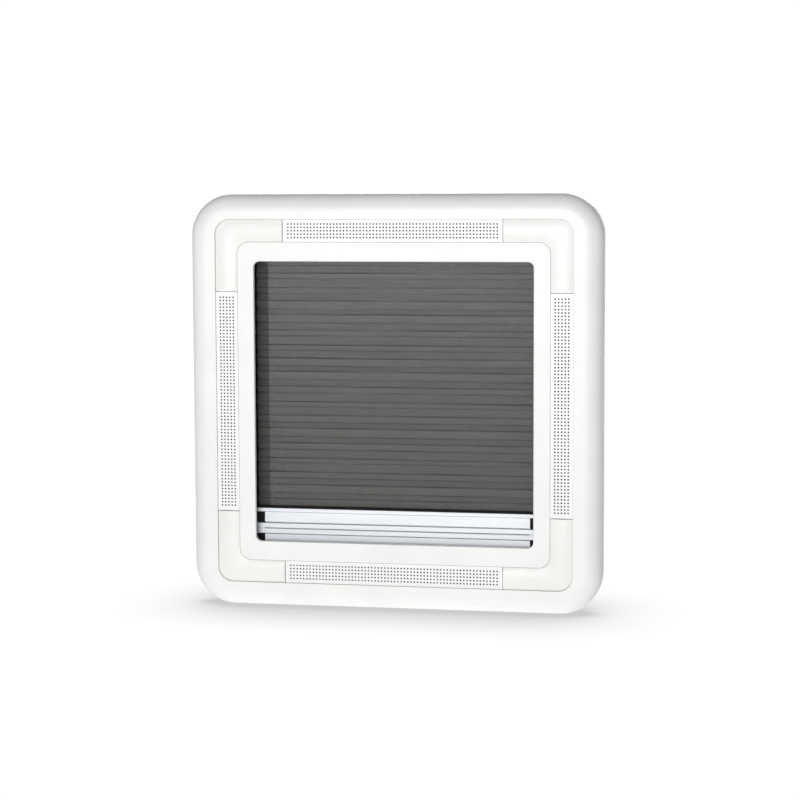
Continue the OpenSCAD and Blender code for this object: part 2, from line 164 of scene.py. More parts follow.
def camera():
    """The photograph's viewpoint: to the right of the object and a little above its middle."""
    right, above, away = 508.4, 257.9, 2533.8
    heading, tilt, roll = math.radians(11.14), math.radians(-5.59), math.radians(0.22)
    data = bpy.data.cameras.new("camera")
    data.sensor_width = 36
    data.lens = 98.3
    cam = bpy.data.objects.new("camera", data)
    bpy.context.scene.collection.objects.link(cam)
    turn = (Matrix.Rotation(heading, 4, "Z") @ Matrix.Rotation(tilt, 4, "X")
            @ Matrix.Rotation(roll, 4, "Y") @ Matrix.Rotation(math.pi / 2, 4, "X"))
    cam.matrix_world = Matrix.Translation(at(right, above, away + FACE_H)) @ turn
    bpy.context.scene.camera = cam


def area_light(name, place, size, power):
    """A square soft light aimed at the object's middle, itself out of the picture."""
    data = bpy.data.lights.new(name, "AREA")
    data.shape = "SQUARE"
    data.size = size
    data.energy = power
    lamp = bpy.data.objects.new(name, data)
    bpy.context.scene.collection.objects.link(lamp)
    lamp.location = place
    lamp.visible_camera = False
    lamp.rotation_euler = (-Vector(place)).to_track_quat("-Z", "Y").to_euler()


def world():
    """A white room to the eye that lights the object less than it looks, so that edges shade off."""
    look, lit = 1.05, 0.27
    made = bpy.data.worlds.new("studio")
    bpy.context.scene.world = made
    made.use_nodes = True
    tree = made.node_tree
    tree.nodes.clear()
    path = tree.nodes.new("ShaderNodeLightPath")
    seen = tree.nodes.new("ShaderNodeBackground")
    seen.inputs["Color"].default_value = (1, 1, 1, 1)
    seen.inputs["Strength"].default_value = look
    light = tree.nodes.new("ShaderNodeBackground")
    light.inputs["Color"].default_value = (1, 1, 0.985, 1)
    light.inputs["Strength"].default_value = lit
    mix = tree.nodes.new("ShaderNodeMixShader")
    out = tree.nodes.new("ShaderNodeOutputWorld")
    tree.links.new(path.outputs["Is Camera Ray"], mix.inputs["Fac"])
    tree.links.new(light.outputs[0], mix.inputs[1])
    tree.links.new(seen.outputs[0], mix.inputs[2])
    tree.links.new(mix.outputs[0], out.inputs["Surface"])


def floor():
    """The white sheet that the frame stands on. It looks white, with a soft contact shadow from the
    ambient occlusion, and lights the object from below as a sheet does."""
    mesh = bpy.data.meshes.new("floor")
    reach, level, shadow_reach, bounce = 6, -FRAME_HALF * MM, 0.2, 0.4
    corners = [(sx * reach, sy * reach, level) for sx, sy in ((-1, -1), (1, -1), (1, 1), (-1, 1))]
    mesh.from_pydata(corners, [], [(0, 1, 2, 3)])
    sheet = bpy.data.objects.new("floor", mesh)
    bpy.context.scene.collection.objects.link(sheet)
    mat = Mat("floor_white", (0.8, 0.8, 0.8), 0.9)
    mat.bsdf.inputs["Specular IOR Level"].default_value = 0.1
    mat.bsdf.inputs["Emission Color"].default_value = (1, 1, 1, 1)
    mat.bsdf.inputs["Emission Strength"].default_value = bounce
    near = mat.node("AmbientOcclusion", samples=8)
    near.inputs["Distance"].default_value = shadow_reach
    glow = mat.node("Emission")
    mat.link(mat.span(near.outputs["AO"], 0.6, 1.04, 0.5, 0.98), glow.inputs["Strength"])
    mix = mat.node("MixShader")
    mat.link(mat.node("LightPath").outputs["Is Camera Ray"], mix.inputs["Fac"])
    mat.link(mat.bsdf.outputs[0], mix.inputs[1])
    mat.link(glow.outputs[0], mix.inputs[2])
    mat.link(mix.outputs[0], mat.tree.nodes["Material Output"].inputs["Surface"])
    sheet.data.materials.append(mat.made)


# ---- Materials ----

class Mat:
    """A Principled material and short ways to add procedural detail to it. Sizes in it are in metres."""

    def __init__(self, name, base, rough, metal=0.0):
        self.made = bpy.data.materials.new(name)
        self.made.use_nodes = True
        self.tree = self.made.node_tree
        self.bsdf = self.tree.nodes["Principled BSDF"]
        self.base = base
        self.bsdf.inputs["Base Color"].default_value = (*base, 1)
        self.bsdf.inputs["Roughness"].default_value = rough
        self.bsdf.inputs["Metallic"].default_value = metal

    def node(self, kind, **settings):
        """A new shader node with the given settings."""
        made = self.tree.nodes.new("ShaderNode" + kind)
        for key, value in settings.items():
            setattr(made, key, value)
        return made

    def link(self, a, b):
        self.tree.links.new(a, b)

    def place(self, stretch=(1, 1, 1)):
        """Object coordinates, multiplied by stretch."""
        coord = self.node("TexCoord")
        mapping = self.node("Mapping")
        mapping.inputs["Scale"].default_value = stretch
        self.link(coord.outputs["Object"], mapping.inputs["Vector"])
        return mapping.outputs[0]

    def axes(self, source):
        """The x, y and z outputs of a texture coordinate."""
        coord = self.node("TexCoord")
        split = self.node("SeparateXYZ")
        self.link(coord.outputs[source], split.inputs[0])
        return split.outputs["X"], split.outputs["Y"], split.outputs["Z"]

    def noise(self, grain, detail=3.0, stretch=(1, 1, 1)):
        """Noise whose blobs are about grain metres wide."""
        tex = self.node("TexNoise")
        tex.inputs["Scale"].default_value = 1 / grain
        tex.inputs["Detail"].default_value = detail
        self.link(self.place(stretch), tex.inputs["Vector"])
        return tex.outputs["Fac"]

    def span(self, value, low, high, start=0.3, end=0.7):
        """Maps value from start..end to low..high."""
        mapped = self.node("MapRange")
        for name, number in (("From Min", start), ("From Max", end), ("To Min", low), ("To Max", high)):
            mapped.inputs[name].default_value = number
        self.link(value, mapped.inputs["Value"])
        return mapped.outputs["Result"]

    def math(self, operation, a, b=None):
        """One Math node. a and b are numbers or outputs of other nodes."""
        made = self.node("Math", operation=operation)
        for socket, value in zip(made.inputs, (a, b)):
            if isinstance(value, (int, float)):
                socket.default_value = value
            elif value is not None:
                self.link(value, socket)
        return made.outputs[0]

    def shade(self, value, low, high):
        """Base colour from low times the base to high times the base, driven by value."""
        mix = self.node("Mix", data_type="RGBA")
        mix.inputs[6].default_value = (*[c * low for c in self.base], 1)
        mix.inputs[7].default_value = (*[min(c * high, 1) for c in self.base], 1)
        self.link(value, mix.inputs[0])
        self.link(mix.outputs[2], self.bsdf.inputs["Base Color"])

    def rough(self, value, low, high):
        """Roughness from low to high, driven by value."""
        self.link(self.span(value, low, high), self.bsdf.inputs["Roughness"])

    def bump(self, value, depth, strength=1.0):
        """Bump of depth metres."""
        made = self.node("Bump")
        made.inputs["Strength"].default_value = strength
        made.inputs["Distance"].default_value = depth
        self.link(value, made.inputs["Height"])
        self.link(made.outputs["Normal"], self.bsdf.inputs["Normal"])


def moulded_white(name, base, grain):
    """White satin plastic: a fine moulded grain, and slow changes of tone and gloss."""
    mat = Mat(name, base, 0.34)
    slow = mat.noise(0.05, 4)
    mat.shade(mat.span(slow, 0, 1), 0.975, 1.02)
    mat.rough(mat.noise(0.004, 5), 0.28, 0.42)
    mat.bump(mat.noise(grain, 2), 0.00003, 0.5)
    return mat.made


def moulded_black(name, base, rough):
    """Black plastic with a spark-eroded grain and a few paler scuffs."""
    mat = Mat(name, base, rough)
    mat.bsdf.inputs["Specular IOR Level"].default_value = 0.18
    scuff = mat.noise(0.003, 6, (1, 1, 0.3))
    mat.shade(mat.span(scuff, 0, 1, 0.55, 0.75), 0.9, 1.8)
    mat.rough(mat.noise(0.006, 4), rough - 0.08, rough + 0.12)
    mat.bump(mat.noise(0.0004, 2), 0.00004, 0.6)
    return mat.made


def anodised(name, base, along):
    """Anodised aluminium with fine die lines along one axis."""
    mat = Mat(name, base, 0.42, 0.35)
    squeeze = tuple(0.01 if axis == along else 1 for axis in "xyz")
    lines = mat.noise(0.00035, 3, squeeze)
    mat.shade(mat.span(lines, 0, 1), 0.93, 1.04)
    mat.rough(mat.noise(0.0012, 3, squeeze), 0.36, 0.5)
    mat.bump(lines, 0.00001, 0.35)
    return mat.made


def steel(name, base):
    """Zinc-plated steel with a mottled passivated film."""
    mat = Mat(name, base, 0.35, 0.9)
    mottle = mat.noise(0.0012, 5)
    mat.shade(mat.span(mottle, 0, 1), 0.8, 1.08)
    mat.rough(mottle, 0.25, 0.5)
    mat.bump(mat.noise(0.0003, 2), 0.00001, 0.4)
    return mat.made


def braid(name, base):
    """Fine cord whose strands cross in a braid along z."""
    lay, strand = 0.0012, 0.0009
    mat = Mat(name, base, 0.8)
    x, y, z = mat.axes("Object")
    rise = mat.math("MULTIPLY", z, 2 * math.pi / lay)
    side = mat.math("MULTIPLY", mat.math("ADD", x, y), 2 * math.pi / strand)
    one = mat.math("SINE", mat.math("ADD", rise, side))
    other = mat.math("SINE", mat.math("SUBTRACT", rise, side))
    weave = mat.math("MAXIMUM", one, other)
    mat.shade(mat.span(weave, 0, 1, -0.5, 1), 0.72, 1.05)
    mat.bump(weave, 0.00006, 0.7)
    return mat.made


def thread(mat, coordinate, pitch, width):
    """1 on a thread of the given share of the pitch, 0 in the gap, along one coordinate."""
    soft = 0.06
    turn = mat.math("FRACT", mat.math("DIVIDE", coordinate, pitch))
    away = mat.math("ABSOLUTE", mat.math("SUBTRACT", turn, 0.5))
    return mat.span(away, 1, 0, width / 2 - soft, width / 2 + soft)


def insect_mesh(name):
    """Woven dark mesh, open between its threads, and a little less dense towards its head, so lighter towards
    the top. The folds are drawn denser, with painted crease shade in their colour. The weave follows the flat
    sheet, whose u and v are in metres."""
    weft_pitch, warp_pitch, width, height = 0.0010, 0.0009, 0.82, 0.36
    mat = Mat(name, (0.066, 0.0635, 0.0595), 0.75)
    mat.bsdf.inputs["Sheen Weight"].default_value = 0.15
    across, up, _ = mat.axes("UV")
    weft = thread(mat, up, weft_pitch, width)
    warp = thread(mat, across, warp_pitch, width)
    cloth = mat.math("MAXIMUM", weft, warp)
    fold_shade_and_density = mat.node("Attribute", attribute_name="fold_shade_and_density").outputs["Fac"]
    slub = mat.noise(0.0012, 2, (0.02, 1, 1))
    # Less dense towards the head, so the mesh reads lighter towards the top
    less_dense_towards_head = mat.span(up, 0, -0.045, 0, height)
    full = mat.math("ADD", mat.math("ADD", cloth, less_dense_towards_head), mat.span(slub, -0.03, 0.03))
    # The crease mark draws the mesh denser, and darkens its colour as painted crease shade
    dense = mat.math("MAXIMUM", full, fold_shade_and_density)
    tone = mat.math("SUBTRACT", mat.span(slub, 0.55, 1), fold_shade_and_density)
    mat.shade(tone, 0.42, 1.2)
    mat.bump(mat.math("ADD", weft, warp), 0.00015, 0.4)
    clear = mat.node("BsdfTransparent")
    mix = mat.node("MixShader")
    out = mat.tree.nodes["Material Output"]
    mat.link(dense, mix.inputs["Fac"])
    mat.link(clear.outputs[0], mix.inputs[1])
    mat.link(mat.bsdf.outputs[0], mix.inputs[2])
    mat.link(mix.outputs[0], out.inputs["Surface"])
    return mat.made


def blackout_cloth(name):
    """Dense pale grey fabric with a fine plain weave, and painted shade along its creases."""
    pitch, width = 0.0005, 0.7
    mat = Mat(name, (0.60, 0.61, 0.62), 0.7)
    mat.bsdf.inputs["Sheen Weight"].default_value = 0.25
    across, up, _ = mat.axes("UV")
    weft = thread(mat, up, pitch, width)
    warp = thread(mat, across, pitch, width)
    fold_shade_and_density = mat.node("Attribute", attribute_name="fold_shade_and_density").outputs["Fac"]
    slub = mat.noise(0.0012, 3, (0.12, 1, 1))
    # Painted crease shade: the colour darkens along the creases
    tone = mat.math("SUBTRACT", mat.span(slub, 0.7, 1), mat.math("MULTIPLY", fold_shade_and_density, 0.6))
    mat.shade(tone, 0.62, 1.08)
    mat.bump(mat.math("ADD", weft, warp), 0.00004, 0.5)
    return mat.made


# ---- Mesh tools ----

def piece(name, bm, mat, body, smooth=35):
    """Makes an object of a bmesh, shades it, gives it its material and sets it on its body."""
    bmesh.ops.recalc_face_normals(bm, faces=bm.faces)
    mesh = bpy.data.meshes.new(name)
    bm.to_mesh(mesh)
    bm.free()
    return placed(name, mesh, mat, body, smooth)


def even_normals(obj):
    """Keeps large flat faces flat in shading, and lets only the small edge faces curve."""
    mod = obj.modifiers.new("even normals", "WEIGHTED_NORMAL")
    mod.weight = 100
    mod.keep_sharp = True


def smooth_shade(mesh, angle=35):
    """Smooth shading, with edges sharper than angle degrees kept sharp."""
    for face in mesh.polygons:
        face.use_smooth = True
    mesh.set_sharp_from_angle(angle=math.radians(angle))


def placed(name, mesh, mat, body=None, smooth=35, matrix=None):
    """Makes an object of a mesh and sets it on its body, when it is given one."""
    smooth_shade(mesh, smooth)
    if not mesh.materials:
        mesh.materials.append(mat)
    obj = bpy.data.objects.new(name, mesh)
    bpy.context.scene.collection.objects.link(obj)
    if matrix is not None:
        obj.matrix_world = matrix
    if body:
        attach(obj, body)
    return obj


def rounded_ring(half_x, half_z, r, h, steps=20):
    """Points round a rounded rectangle at height h, the same number for every ring."""
    points = []
    for quarter, (sx, sz) in enumerate(((1, 1), (-1, 1), (-1, -1), (1, -1))):
        for i in range(steps + 1):
            a = math.pi / 2 * (quarter + i / steps)
            points.append(at(sx * (half_x - r) + r * math.cos(a), sz * (half_z - r) + r * math.sin(a), h))
    return points


def loft(bm, rings, closed=False, caps=False):
    """Quads between rings of points that all have the same number of points. A closed loft joins its
    last ring to its first."""
    rows = [[bm.verts.new(p) for p in ring] for ring in rings]
    following = rows[1:] + rows[:1] if closed else rows[1:]
    for a, b in zip(rows, following):
        for i in range(len(a)):
            j = (i + 1) % len(a)
            bm.faces.new((a[i], a[j], b[j], b[i]))
    if caps:
        bm.faces.new(rows[0])
        bm.faces.new(rows[-1])


def circle(centre, r, h, steps):
    """Points round a circle at height h, whose middle is centre = (x, z)."""
    turns = [2 * math.pi * i / steps for i in range(steps)]
    return [at(centre[0] + r * math.cos(a), centre[1] + r * math.sin(a), h) for a in turns]


def lathe(bm, sections, centre, steps=32):
    """Turns (radius, height) sections round an axis square to the ceiling through centre = (x, z)."""
    loft(bm, [circle(centre, r, h, steps) for r, h in sections])


def cut(obj, cutter_bm):
    """Subtracts a bmesh from an object for good."""
    bmesh.ops.recalc_face_normals(cutter_bm, faces=cutter_bm.faces)
    mesh = bpy.data.meshes.new("cutter")
    cutter_bm.to_mesh(mesh)
    cutter_bm.free()
    cutter = bpy.data.objects.new("cutter", mesh)
    bpy.context.scene.collection.objects.link(cutter)
    mod = obj.modifiers.new("cut", "BOOLEAN")
    mod.operation = "DIFFERENCE"
    mod.solver = "EXACT"
    mod.object = cutter
    bpy.context.view_layer.update()
    result = bpy.data.meshes.new_from_object(obj.evaluated_get(bpy.context.evaluated_depsgraph_get()))
    obj.modifiers.clear()
    old = obj.data
    obj.data = result
    bpy.data.meshes.remove(old)
    bpy.data.objects.remove(cutter)
    bpy.data.meshes.remove(mesh)
    smooth_shade(obj.data)


def carry(node, mat, bevel=0.3):
    """Keeps a CAD node: softens its edges with a bevel and gives it its material."""
    obj = NODES[node]
    obj.data.materials.clear()
    obj.data.materials.append(mat)
    if bevel:
        mod = obj.modifiers.new("soft edges", "BEVEL")
        mod.width = bevel * MM
        mod.segments = 2
        mod.limit_method = "ANGLE"
        mod.angle_limit = math.radians(40)
        mod.use_clamp_overlap = True
        even_normals(obj)
    return obj


# ---- Surround ----

def rim_rings(inset, steps):
    """Rings of the rim's rounded shoulder, from its foot to its crown, taken in by inset."""
    middle = RIM_H - RIM_ROUND
    rings = [(FRAME_HALF - inset, FRAME_HALF - inset, CORNER_R - inset, 0)]
    for i in range(steps + 1):
        a = math.pi / 2 * i / steps
        reach = (RIM_ROUND - inset) * math.cos(a) - RIM_ROUND
        rings.append((FRAME_HALF + reach, FRAME_HALF + reach, CORNER_R + reach,
                      middle + (RIM_ROUND - inset) * math.sin(a)))
    return rings


def edge_rings(half, r, h, radius, outward, steps=3):
    """Rings round an edge from a flat at height h down into a wall at half; outward is 1 or -1."""
    rings = []
    for i in range(steps + 1):
        a = math.pi / 2 * i / steps
        step = outward * radius * (1 - math.sin(a))
        rings.append((half[0] + step, half[1] + step, r + step, h - radius * (1 - math.cos(a))))
    return rings


def surround(mat):
    """The moulded frame: one closed section lofted all round, then its slots, holes and bosses."""
    window = (WINDOW, WINDOW)
    rings = rim_rings(0, 14)
    rings += edge_rings(CHANNEL, CHANNEL_R, RIM_H, 0.5, 1)
    rings += [(*CHANNEL, CHANNEL_R, FLOOR_H), (*BAND, BAND_R, FLOOR_H)]
    rings += edge_rings(BAND, BAND_R, FACE_H, 0.35, -1)[::-1]
    rings += edge_rings(window, WINDOW_R, FACE_H, WINDOW_EDGE, 1, 6)
    rings += [(*window, WINDOW_R, FACE_H - WINDOW_LIP)]
    lip_r = WINDOW_R + LIP_OUT - WINDOW
    rings += [(LIP_OUT, LIP_OUT, lip_r, h) for h in (FACE_H - WINDOW_LIP, FACE_H - WALL)]
    inner = (BAND[0] - WALL, BAND[1] - WALL)
    rings += [(*inner, BAND_R - WALL, FACE_H - WALL), (*inner, BAND_R - WALL, FLOOR_H - WALL)]
    outer = (CHANNEL[0] + WALL, CHANNEL[1] + WALL)
    rings += [(*outer, CHANNEL_R + WALL, FLOOR_H - WALL), (*outer, CHANNEL_R + WALL, RIM_H - WALL)]
    rings += rim_rings(WALL, 10)[::-1]
    bm = bmesh.new()
    loft(bm, [rounded_ring(*ring) for ring in rings], closed=True)
    obj = piece("surround", bm, mat, ROOT)
    cut(obj, floor_cutters())
    add_bosses(obj)
    even_normals(obj)
    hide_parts("front_frame")


def floor_cutters():
    """Air slots and ceiling screw holes through the channel's floor."""
    bm = bmesh.new()
    through = (FLOOR_H - WALL - 1, FLOOR_H + 1)
    for sign in (1, -1):
        for half, centre in ((AIR_SLOT, (0, sign * LINE[1])), (AIR_SLOT[::-1], (sign * LINE[0], 0))):
            shift = at(*centre, 0)
            loft(bm, [[p + shift for p in rounded_ring(*half, AIR_SLOT_R, h, 6)] for h in through], caps=True)
    for sx, sz in QUARTERS:
        for x, z in (CEILING_SIDE, CEILING_END):
            loft(bm, [circle((sx * x, sz * z), CEILING_HOLE_R, h, 24) for h in through], caps=True)
    return bm


def add_bosses(obj):
    """Screw bosses under the channel's floor, moulded with the surround."""
    bm = bmesh.new()
    bm.from_mesh(obj.data)
    under, low = FLOOR_H - WALL, LUG_H + WALL
    edge, lug_edge = 0.4, 0.3
    ceiling = [(CEILING_HOLE_R, under), (CEILING_HOLE_R, edge), (CEILING_HOLE_R + edge, 0),
               (BOSS_R - edge, 0), (BOSS_R, edge), (BOSS_R, under)]
    chassis = [(PILOT_R, under), (PILOT_R, low), (LUG_BOSS_R - lug_edge, low), (LUG_BOSS_R, low + lug_edge),
               (LUG_BOSS_R, under)]
    for sx, sz in QUARTERS:
        for x, z in (CEILING_SIDE, CEILING_END):
            lathe(bm, ceiling, (sx * x, sz * z))
        for x, z in (SIDE_LUG, END_LUG):
            lathe(bm, chassis, (sx * x, sz * z))
    bm.to_mesh(obj.data)
    bm.free()
    smooth_shade(obj.data)


# ---- Grilles and corner covers ----

def hole_ring(centre, r, h, square=0.0):
    """16 points round a hole, or on the square cell round it where square is its half side."""
    points = []
    for k in range(16):
        a = 2 * math.pi * k / 16
        reach = square / max(abs(math.cos(a)), abs(math.sin(a))) if square else r
        points.append(at(centre[0] + reach * math.cos(a), centre[1] + reach * math.sin(a), h))
    return points


def side_stops(count):
    """Where the cells' boundary points lie along one side of the grid."""
    near = PITCH / 2 * math.tan(math.pi / 8)
    stops = []
    for i in range(count):
        middle = (i - (count - 1) / 2) * PITCH
        stops += [middle - PITCH / 2, middle - near, middle, middle + near]
    return stops


def perimeter(xs, zs, half_x, half_z, h):
    """Points round a rectangle of the given half sizes, in step with the grid's boundary points."""
    grid_x, grid_z = -xs[0], -zs[0]
    points = [at(x / grid_x * half_x, -half_z, h) for x in xs]
    points += [at(half_x, z / grid_z * half_z, h) for z in zs]
    points += [at(-x / grid_x * half_x, half_z, h) for x in xs]
    points += [at(-half_x, -z / grid_z * half_z, h) for z in zs]
    return points


def grille_mesh():
    """A perforated strip along x, with its middle at the origin, on two flanges joined at the ends."""
    edge, hole_edge = 0.3, 0.12
    half_x, half_z = GRILLE_HALF - END_GAP, (GRILLE_HIGH - GRILLE_LOW) / 2
    under = FACE_H - STRIP_T
    bm = bmesh.new()
    for i in range(HOLES_ALONG):
        for j in range(HOLES_ACROSS):
            centre = ((i - (HOLES_ALONG - 1) / 2) * PITCH, (j - (HOLES_ACROSS - 1) / 2) * PITCH)
            rings = [hole_ring(centre, 0, FACE_H, PITCH / 2), hole_ring(centre, HOLE_R + hole_edge, FACE_H),
                     hole_ring(centre, HOLE_R, FACE_H - hole_edge), hole_ring(centre, HOLE_R, under),
                     hole_ring(centre, 0, under, PITCH / 2)]
            loft(bm, rings)
    xs, zs = side_stops(HOLES_ALONG), side_stops(HOLES_ACROSS)
    rims = [(-xs[0], -zs[0], FACE_H)]
    for i in range(4):
        a = math.pi / 2 * i / 3
        inset = edge * (1 - math.sin(a))
        rims.append((half_x - inset, half_z - inset, FACE_H - edge * (1 - math.cos(a))))
    rims += [(half_x, half_z, FLOOR_H), (half_x - FLANGE_T, half_z - FLANGE_T, FLOOR_H),
             (half_x - FLANGE_T, half_z - FLANGE_T, under), (-xs[0], -zs[0], under)]
    loft(bm, [perimeter(xs, zs, *rim) for rim in rims])
    bmesh.ops.remove_doubles(bm, verts=bm.verts, dist=0.01 * MM)
    bmesh.ops.recalc_face_normals(bm, faces=bm.faces)
    mesh = bpy.data.meshes.new("perforated_strip")
    bm.to_mesh(mesh)
    bm.free()
    return mesh


def grilles(mat):
    """The same strip on all four sides, the left and right ones turned upright."""
    mesh = grille_mesh()
    upright = Matrix.Rotation(math.pi / 2, 4, "Y")
    places = {"top": Matrix.Translation(at(0, LINE[1], 0)), "bottom": Matrix.Translation(at(0, -LINE[1], 0)),
              "left": Matrix.Translation(at(-LINE[0], 0, 0)) @ upright,
              "right": Matrix.Translation(at(LINE[0], 0, 0)) @ upright}
    for side, matrix in places.items():
        obj = placed("perforated_strip_" + side, mesh, mat, ROOT, matrix=matrix)
        even_normals(obj)
        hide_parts("vent_grille_" + side)


def cover_path(half, r, steps_leg, steps_arc):
    """One edge of the top right cover: along its level leg, round the corner, down its upright leg."""
    points = []
    turn = (half[0] - r, half[1] - r)
    start = COVER_START + END_GAP
    for i in range(steps_leg):
        points.append((start + (turn[0] - start) * i / steps_leg, half[1]))
    for i in range(steps_arc + 1):
        a = math.pi / 2 * (1 - i / steps_arc)
        points.append((turn[0] + r * math.cos(a), turn[1] + r * math.sin(a)))
    for i in range(steps_leg - 1, -1, -1):
        points.append((half[0], start + (turn[1] - start) * i / steps_leg))
    return points


def cover_mesh():
    """A crowned corner cover, smooth from one leg to the other, its two ends rounded down."""
    edge, shoulder, end_drop, flatness, steps = 0.6, 0.12, 0.5, 2.1, 12
    outer = cover_path((CHANNEL[0] - GAP, CHANNEL[1] - GAP), CHANNEL_R - GAP, 6, 16)
    inner = cover_path((BAND[0] + GAP, BAND[1] + GAP), BAND_R + GAP, 6, 16)
    crown = COVER_H - FACE_H
    base, side_top = FLOOR_H + COVER_LIFT, FACE_H - edge
    rings = []
    for i, (a, b) in enumerate(zip(outer, inner)):
        a, b = Vector(a), Vector(b)
        width = (b - a).length
        section = [(0, base), (0, side_top)]
        for k in range(steps + 1):
            t = k / steps
            rise = crown * (1 - abs(2 * t - 1) ** flatness) - shoulder * (k in (0, steps))
            section.append((edge * 0.4 + t * (width - 0.8 * edge), FACE_H + rise))
        section += [(width, side_top), (width, base)]
        across = (b - a) / width
        if i in (0, len(outer) - 1):
            inward = Vector((1, 0)) if i == 0 else Vector((0, 1))
            near = [at(*(a + across * d + inward * end_drop), h) for d, h in section]
            end = [at(*(a + across * d), h - end_drop * (h > side_top)) for d, h in section]
            rings += [end, near] if i == 0 else [near, end]
        else:
            rings.append([at(*(a + across * d), h) for d, h in section])
    bm = bmesh.new()
    loft(bm, rings, caps=True)
    bmesh.ops.recalc_face_normals(bm, faces=bm.faces)
    mesh = bpy.data.meshes.new("corner_cover")
    bm.to_mesh(mesh)
    bm.free()
    return mesh


def corner_name(sx, sz):
    """The name of the corner on the side of x that sx gives and the side of z that sz gives."""
    return "{}_{}".format("top" if sz > 0 else "bottom", "right" if sx > 0 else "left")


def corner_covers(mat):
    """The top right cover and its three mirror images."""
    source = cover_mesh()
    for sx, sz in QUARTERS:
        name = corner_name(sx, sz)
        mesh = source.copy()
        mesh.transform(Matrix.Diagonal((sx, 1, sz, 1)))
        if sx * sz < 0:
            mesh.flip_normals()
        obj = placed("crowned_cover_" + name, mesh, mat, ROOT, 45)
        even_normals(obj)
        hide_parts("corner_cover_" + name)


# ---- Bars ----

def bar_outline():
    """The extrusion's section as (distance from the fabric edge, height), one loop through its slot.
    A shadow groove runs along both lips, and the edges that meet the other bar are well rounded."""
    lip_a, wall, band = OUTER_LIP, BAR_WALL, BAR_BAND_H
    shallow, deep = band - 1.2, band - 2.9
    foot = BAR_W - INNER_LIP
    front = [(0, LIP_H - 0.25), (0.25, LIP_H), (lip_a - 0.3, LIP_H), (lip_a, LIP_H - 0.3), (lip_a, shallow),
             (lip_a + 0.6, shallow), (lip_a + 0.7, band - 0.1), (lip_a + 0.9, band),
             (foot - 1.3, band), (foot - 1.1, band - 0.2), (foot - 1.0, deep), (foot, deep),
             (foot, LIP_H - 0.4), (foot + 0.4, LIP_H), (BAR_W - 1.0, LIP_H), (BAR_W - 0.4, LIP_H - 0.35),
             (BAR_W - 0.1, LIP_H - 1.0)]
    back = [(BAR_W - 0.1, BAR_BASE + 0.5), (BAR_W - 0.6, BAR_BASE), (0.5, BAR_BASE), (0, BAR_BASE + 0.5)]
    slot_low, slot_high = BAR_SLOT
    roof = band - wall
    inside = [(0, slot_low), (wall, slot_low), (wall, BAR_BASE + wall), (BAR_W - wall, BAR_BASE + wall),
              (BAR_W - wall, roof), (foot, roof), (foot, deep - 0.3), (foot - 2.2, deep - 0.3),
              (foot - 2.6, roof), (lip_a + 1.4, roof), (lip_a + 1.2, shallow - 1.4), (wall, shallow - 1.4),
              (wall, slot_high), (0, slot_high)]
    return front + back + inside


def lip_outline(d0, d1):
    """Section of one lip where it runs on past the band."""
    edge = 0.4
    return [(d0, BAR_BASE), (d1, BAR_BASE), (d1, LIP_H - edge), (d1 - edge, LIP_H), (d0 + edge, LIP_H),
            (d0, LIP_H - edge)]


def bar(name, node, edge, direction, mat, body):
    """A handle bar whose fabric edge is at z = edge; direction is where its section runs, 1 up or -1 down."""
    bm = bmesh.new()

    def run(outline, x0, x1):
        loft(bm, [[at(x, edge + direction * d, h) for d, h in outline] for x in (x0, x1)], caps=True)

    run(bar_outline(), -BAR_BAND_HALF, BAR_BAND_HALF)
    for side in (1, -1):
        x0, x1 = sorted((side * BAR_BAND_HALF, side * BAR_HALF))
        for lip in ((0, OUTER_LIP), (BAR_W - INNER_LIP, BAR_W)):
            run(lip_outline(*lip), x0, x1)
    obj = piece(name, bm, mat, body, 30)
    even_normals(obj)
    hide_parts(node)


# ---- Fabrics ----

def pleat_rows(places, depth):
    """Rows of a pleated sheet as (z, height, the strength of its crease mark), four to each half pleat. The
    folds lie at places, by turns behind and in front, and every other one, in front, gets a stronger mark:
    denser, with darker painted crease shade."""
    folds = [(z, MID_H + (depth / 2 if i % 2 else -depth / 2)) for i, z in enumerate(places)]
    rows = []
    for i, ((z, h), (z1, h1)) in enumerate(zip(folds, folds[1:])):
        rows.append((z, h, FRONT_CREASE_SHADE_AND_DENSITY if i % 2 else BACK_CREASE_SHADE_AND_DENSITY))
        rows += [(z + (z1 - z) * t, h + (h1 - h) * t, 0.0) for t in (0.16, 0.5, 0.84)]
    return rows + [(*folds[-1], FRONT_CREASE_SHADE_AND_DENSITY if len(folds) % 2 == 0 else BACK_CREASE_SHADE_AND_DENSITY)]


def pleated(name, places, depth, mat, wave, body=None):
    """A pleated sheet from its foot to its head, with folds at the given z. wave moves a point of a row
    a little, as cloth does. Returns the piece and the sheet's length along its surface, in metres."""
    columns = 72
    rows = pleat_rows(places, depth)
    bm = bmesh.new()
    uv = bm.loops.layers.uv.new("weave")
    # Per point: how much denser the cloth is drawn at a crease, and how much painted crease shade it gets
    fold_shade_and_density = bm.verts.layers.float.new("fold_shade_and_density")
    length, grid = 0.0, []
    for k, (z, h, crease_shade_and_density) in enumerate(rows):
        if k:
            length += math.dist((z, h), rows[k - 1][:2]) * MM
        line = []
        for c in range(columns + 1):
            x = -FABRIC_HALF + 2 * FABRIC_HALF * c / columns
            dz, dh = wave(x, z, k)
            vert = bm.verts.new(at(x, z + dz, h + dh))
            # A random strength for each crease's painted shade and density
            crease_variation = 0.85 + 0.45 * noise.noise(Vector((x / 60, k * 0.61, 1.7)))
            vert[fold_shade_and_density] = crease_shade_and_density * crease_variation
            line.append((vert, (x + FABRIC_HALF) * MM, length))
        grid.append(line)
    for a, b in zip(grid, grid[1:]):
        for c in range(columns):
            corners = (a[c], a[c + 1], b[c + 1], b[c])
            face = bm.faces.new([v for v, _, _ in corners])
            for loop, (_, u, v) in zip(face.loops, corners):
                loop[uv].uv = (u, v)
    mesh = bpy.data.meshes.new(name)
    bm.to_mesh(mesh)
    bm.free()
    return placed(name, mesh, mat, body, 20), length


